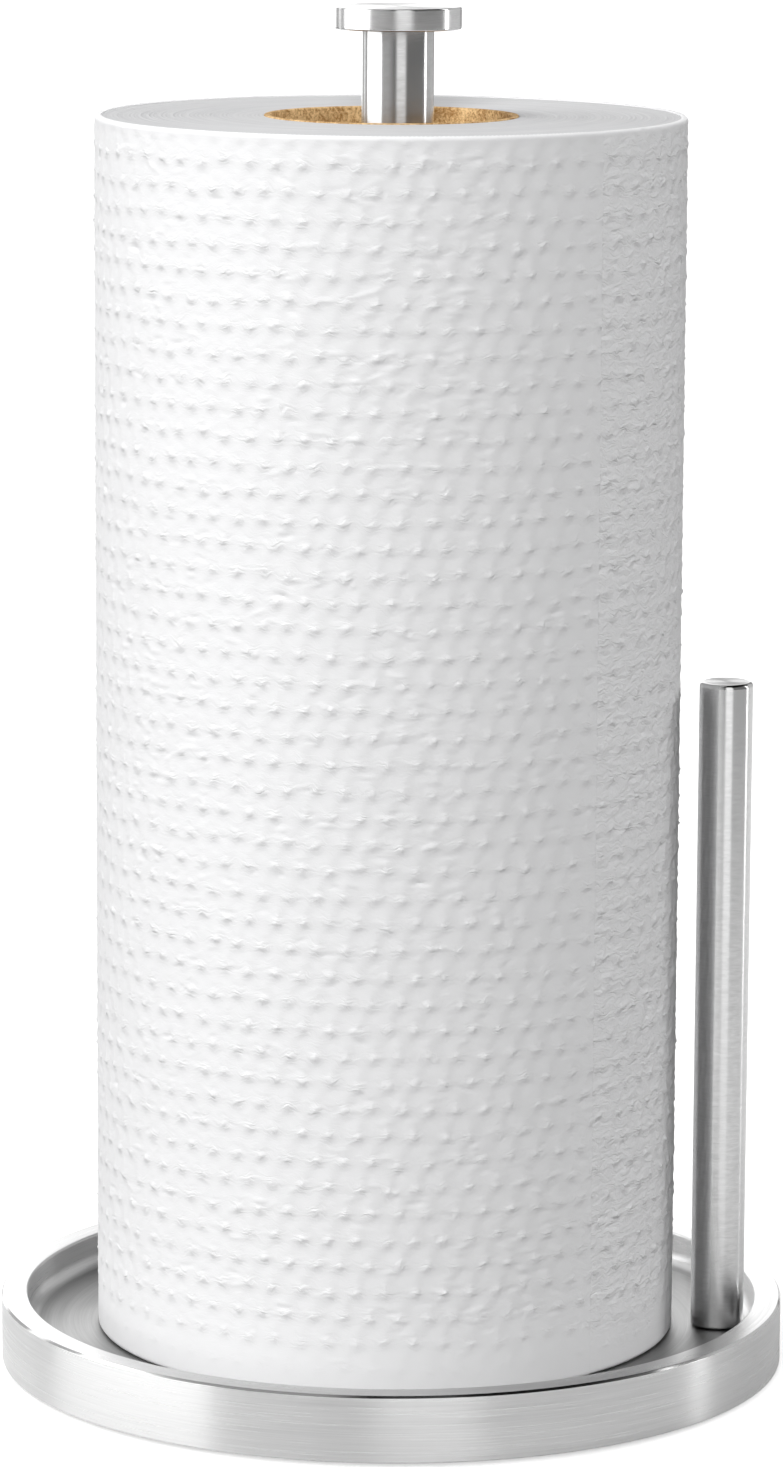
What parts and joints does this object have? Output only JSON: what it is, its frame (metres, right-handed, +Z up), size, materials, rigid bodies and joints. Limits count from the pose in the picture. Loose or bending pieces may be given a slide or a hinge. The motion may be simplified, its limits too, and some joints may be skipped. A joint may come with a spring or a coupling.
{
  "type": "paper towel holder",
  "caption": "Countertop holder for paper towels: weighted round tray, upright post with a disc knob, short side rod, and a roll that lifts off and turns.",
  "frame": {"origin": "centre of the non-slip pad's underside, on the table plane, on the centre post's axis", "axes": "+Z up along the centre post, +X towards the side rod, -Y towards the viewer"},
  "size_m": [0.18, 0.18, 0.3111],
  "materials": {
    "brushed_stainless": "satin",
    "plain_steel": "matte",
    "zinc_plated_steel": "satin",
    "black_rubber": "matte",
    "kraft_board": "matte",
    "white_tissue": "matte"
  },
  "bodies": {
    "holder": {"base_shell": "brushed_stainless", "base_weight": "plain_steel", "base_cover": "zinc_plated_steel", "nonslip_pad": "black_rubber", "cover_screw_1": "zinc_plated_steel", "cover_screw_2": "zinc_plated_steel", "cover_screw_3": "zinc_plated_steel", "post_tube": "brushed_stainless", "post_foot_plug": "plain_steel", "post_top_plug": "plain_steel", "post_screw": "zinc_plated_steel", "post_flat_washer": "zinc_plated_steel", "post_spring_washer": "zinc_plated_steel", "knob": "brushed_stainless", "knob_stud": "zinc_plated_steel", "side_rod": "brushed_stainless", "rod_screw": "zinc_plated_steel", "rod_flat_washer": "zinc_plated_steel", "rod_spring_washer": "zinc_plated_steel"},
    "roll_core": {"cardboard_core": "kraft_board"},
    "roll_paper": {"paper_roll": "white_tissue"}
  },
  "joints": [
    {"name": "roll_lift", "type": "slide", "parent": "holder", "child": "roll_core", "axis": [0, 0, 1], "range_m": [0, 0.31]},
    {"name": "roll_spin", "type": "hinge", "parent": "roll_core", "child": "roll_paper", "pos_m": [-0.00133, 0, 0.1481], "axis": [0, 0, 1], "continuous": true}
  ]
}
